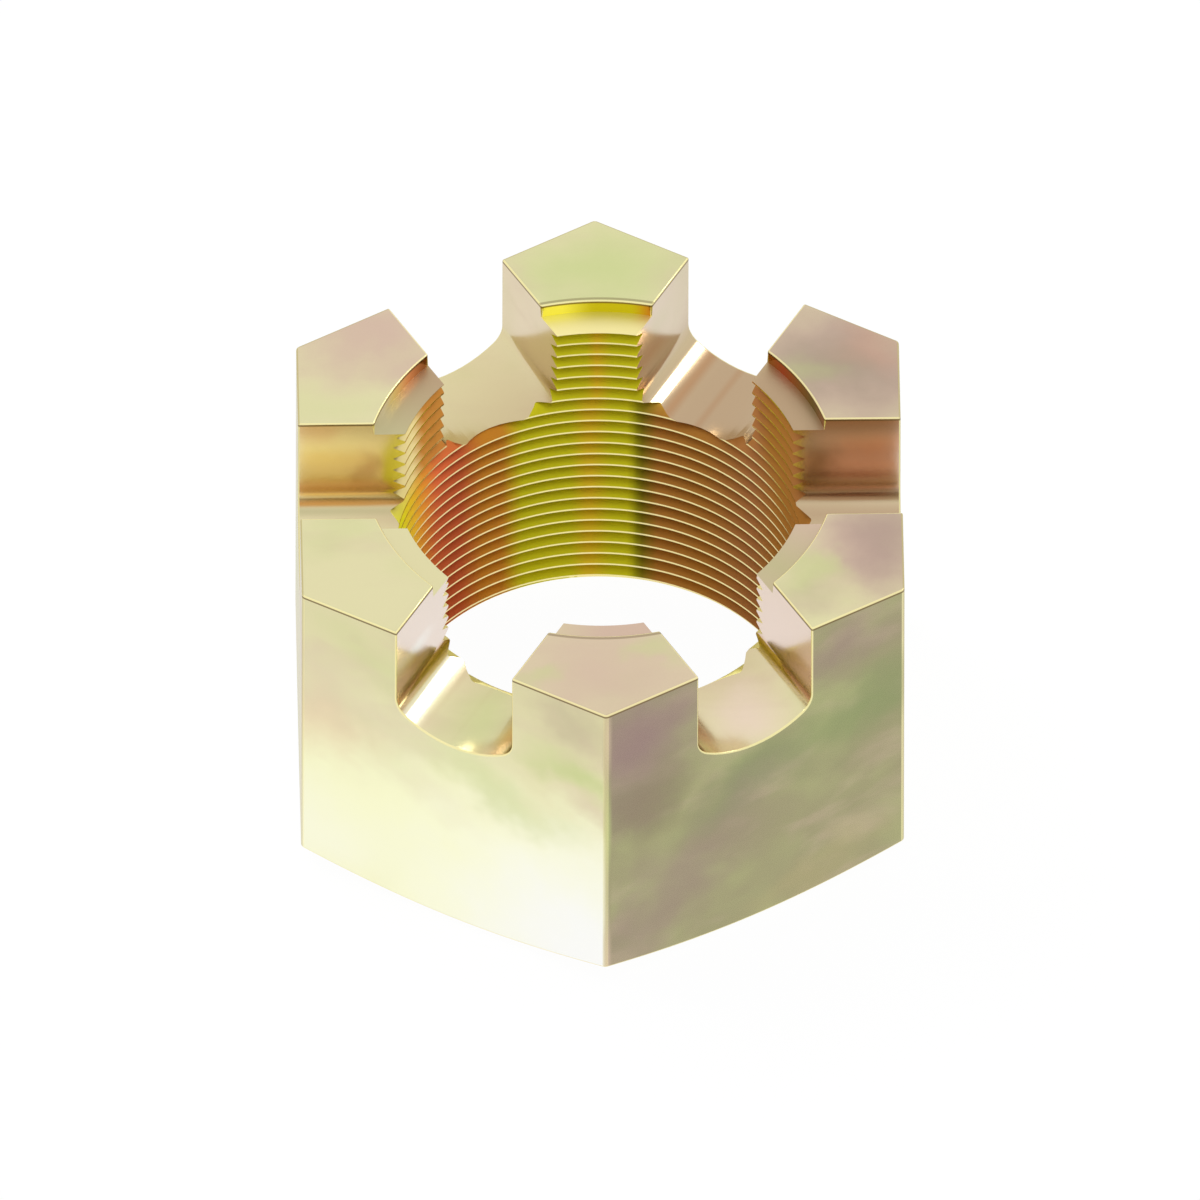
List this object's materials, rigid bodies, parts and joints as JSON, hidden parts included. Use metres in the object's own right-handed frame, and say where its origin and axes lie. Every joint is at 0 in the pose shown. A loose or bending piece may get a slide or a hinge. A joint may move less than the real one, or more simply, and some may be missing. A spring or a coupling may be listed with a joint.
{
  "type": "castle nut",
  "caption": "Hexagonal castle nut: a fine-threaded hole with a plain relief at each end, and a dished slot across each flat for a split pin.",
  "frame": {"origin": "centre of the bearing face, on the axis of the threaded hole", "axes": "+Z along the threaded hole, towards the slotted end; +X square to a flat; +Y through a corner"},
  "size_m": [0.054, 0.0622, 0.034],
  "materials": {
    "yellow_zinc": "steel, zinc plated with a pale yellow iridescent chromate"
  },
  "bodies": {
    "root": {"castle_nut": "yellow_zinc"}
  },
  "joints": []
}
